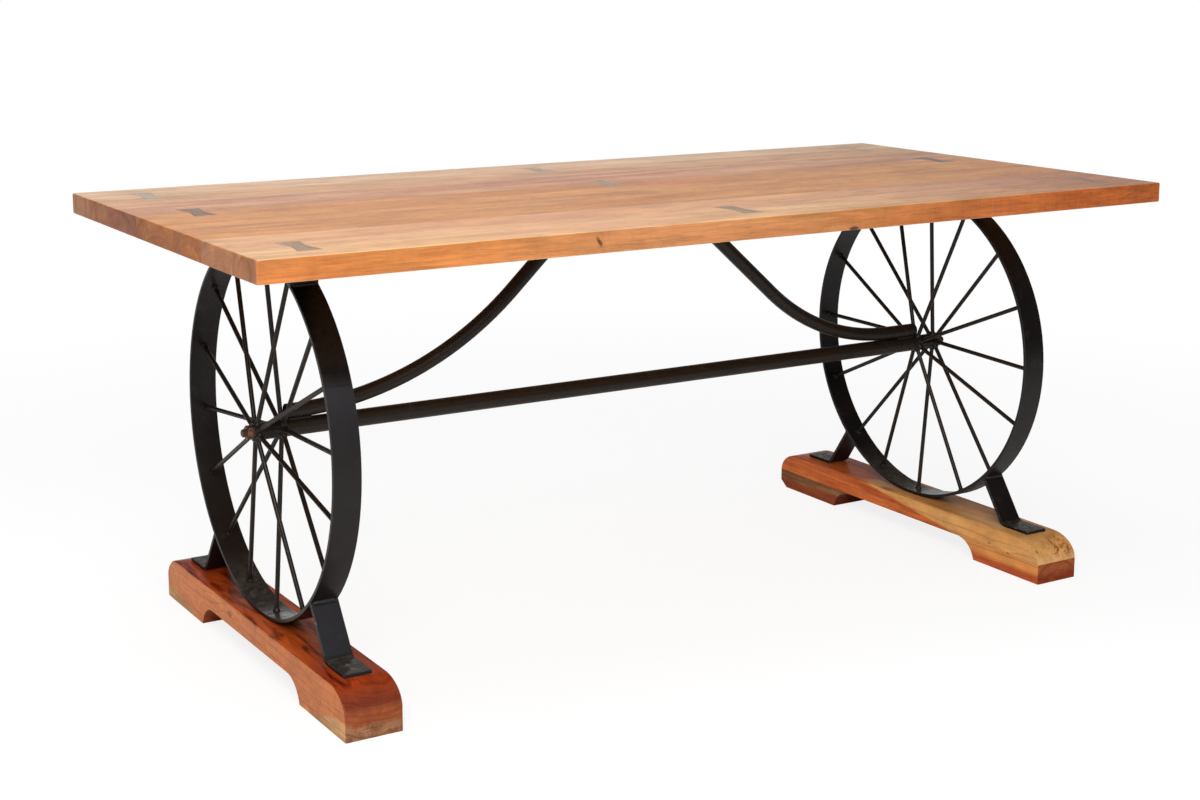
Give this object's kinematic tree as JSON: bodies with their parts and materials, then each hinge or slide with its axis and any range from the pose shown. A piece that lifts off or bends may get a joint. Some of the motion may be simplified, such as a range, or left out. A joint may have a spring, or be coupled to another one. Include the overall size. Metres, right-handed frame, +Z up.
{
  "type": "wagon wheel dining table",
  "caption": "Rectangular plank-topped dining table on two upright steel spoked wheels with wooden feet, joined by a straight tube stretcher and curved braces.",
  "frame": {"origin": "on the floor under the middle of the top, at the bottom centre of the bounding box", "axes": "+Z up, +X along the top and the stretcher, +Y across the top"},
  "size_m": [1.8, 0.88, 0.76],
  "materials": {
    "top_wood": "satin-oiled hardwood, straight grain along the planks",
    "key_wood": "satin dark hardwood",
    "left_foot_wood": "polished reddish hardwood",
    "right_foot_wood": "polished golden-brown hardwood",
    "block_wood": "polished orange-brown hardwood",
    "black_steel": "near-black satin lacquer on mild steel",
    "nut_steel": "bare steel, rusted brown",
    "screw_steel": "dull dark steel"
  },
  "bodies": {
    "root": {"top_plank_1": "top_wood", "top_plank_2": "top_wood", "top_plank_3": "top_wood", "top_plank_4": "top_wood", "top_plank_5": "top_wood", "top_plank_6": "top_wood", "top_plank_7": "top_wood", "butterfly_keys": "key_wood", "stretcher": "black_steel", "tie_rod": "nut_steel", "left_rim": "black_steel", "left_outer_spokes": "black_steel", "left_inner_spokes": "black_steel", "left_hub": "black_steel", "left_nut": "nut_steel", "left_brace": "black_steel", "left_brace_plate": "black_steel", "left_top_bar": "black_steel", "left_foot_beam": "left_foot_wood", "left_near_foot_block": "left_foot_wood", "left_near_strap": "black_steel", "left_near_strut": "black_steel", "left_far_foot_block": "left_foot_wood", "left_far_strap": "black_steel", "left_far_strut": "black_steel", "right_rim": "black_steel", "right_outer_spokes": "black_steel", "right_inner_spokes": "black_steel", "right_hub": "black_steel", "right_nut": "nut_steel", "right_brace": "black_steel", "right_brace_plate": "black_steel", "right_top_bar": "black_steel", "right_foot_beam": "right_foot_wood", "right_near_foot_block": "block_wood", "right_near_strap": "black_steel", "right_near_strut": "black_steel", "right_far_foot_block": "block_wood", "right_far_strap": "black_steel", "right_far_strut": "black_steel", "strap_screws": "screw_steel", "top_bar_screws": "screw_steel", "brace_plate_screws": "screw_steel"}
  },
  "joints": []
}
